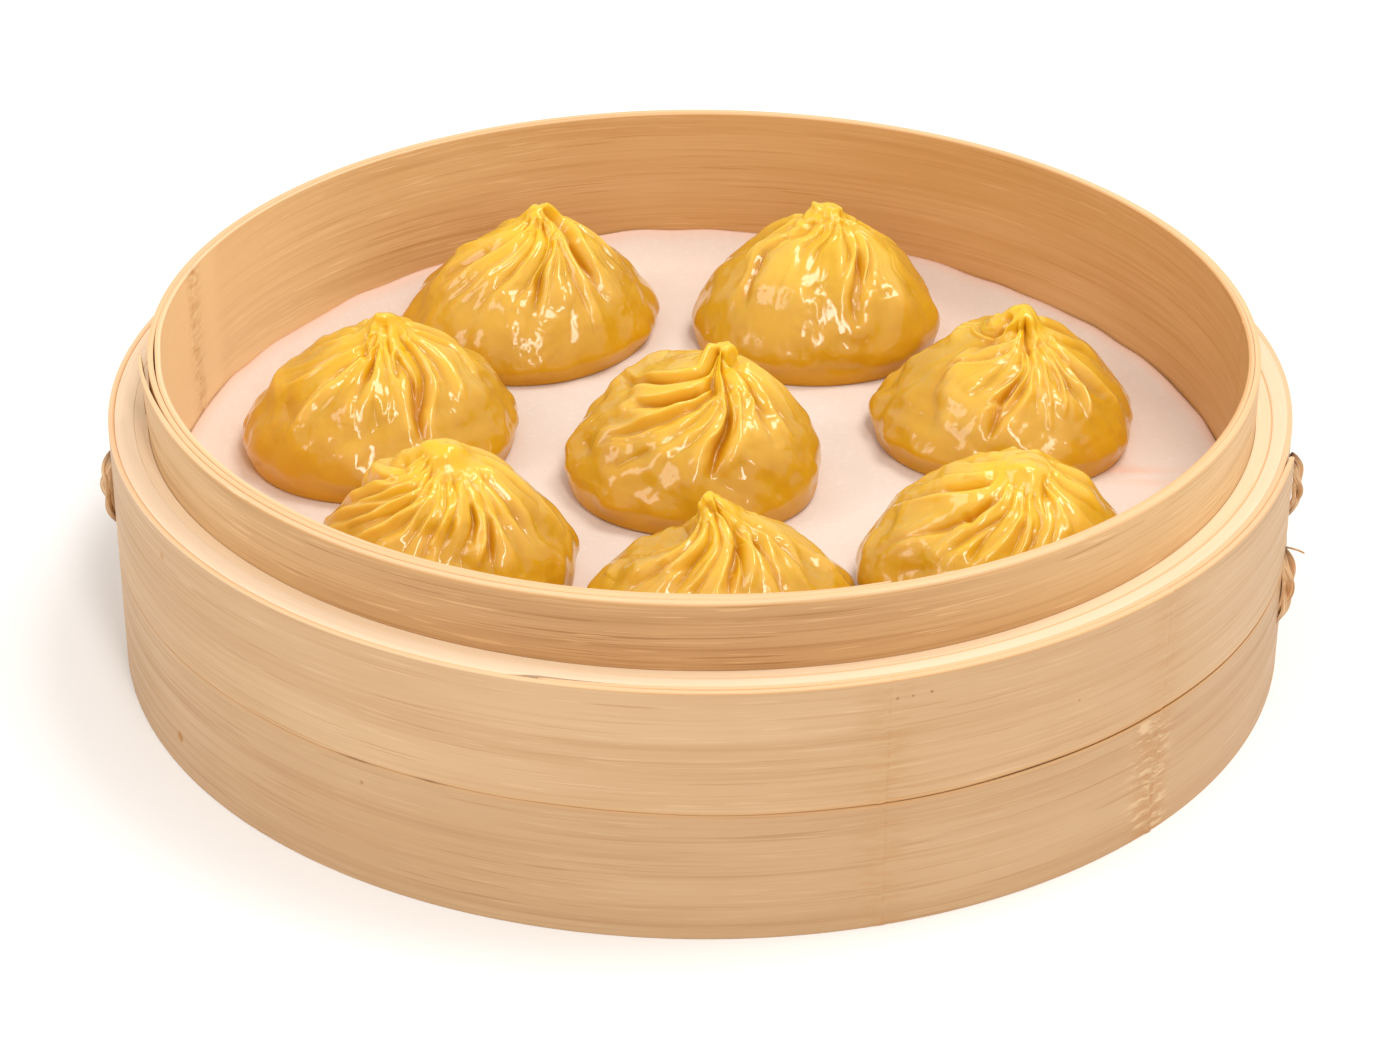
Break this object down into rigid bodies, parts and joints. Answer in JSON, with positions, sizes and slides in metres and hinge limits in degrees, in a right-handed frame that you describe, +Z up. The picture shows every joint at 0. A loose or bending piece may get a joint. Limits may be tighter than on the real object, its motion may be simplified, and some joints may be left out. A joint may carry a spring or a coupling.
{
  "type": "basket of soup dumplings",
  "caption": "Open round bamboo steamer basket with a paper liner, filled with pleated soup dumplings in a ring round a middle one.",
  "frame": {"origin": "centre of the basket's foot, on the surface that it stands on", "axes": "+Z up through the open top, -Y towards the front, +X to the right of someone who looks from the front"},
  "size_m": [0.2221, 0.2196, 0.0608],
  "materials": {
    "pale_bamboo": "satin",
    "bamboo_skin": "satin",
    "cane": "satin",
    "white_paper": "matte",
    "dough": "satin"
  },
  "bodies": {
    "root": {"inner_hoop": "pale_bamboo", "outer_hoop": "pale_bamboo", "lower_skin": "bamboo_skin", "upper_skin": "bamboo_skin", "coiled_strip": "pale_bamboo", "floor_slat_1": "pale_bamboo", "floor_slat_2": "pale_bamboo", "floor_slat_3": "pale_bamboo", "floor_slat_4": "pale_bamboo", "floor_slat_5": "pale_bamboo", "floor_slat_6": "pale_bamboo", "floor_slat_7": "pale_bamboo", "floor_slat_8": "pale_bamboo", "floor_slat_9": "pale_bamboo", "crossbar_1": "pale_bamboo", "crossbar_2": "pale_bamboo", "crossbar_3": "pale_bamboo", "paper_liner": "white_paper", "stitch_left": "cane", "stitch_right_upper": "cane", "stitch_right_lower": "cane", "dumpling_1": "dough", "dumpling_2": "dough", "dumpling_3": "dough", "dumpling_4": "dough", "dumpling_5": "dough", "dumpling_6": "dough", "dumpling_7": "dough", "dumpling_8": "dough"}
  },
  "joints": []
}
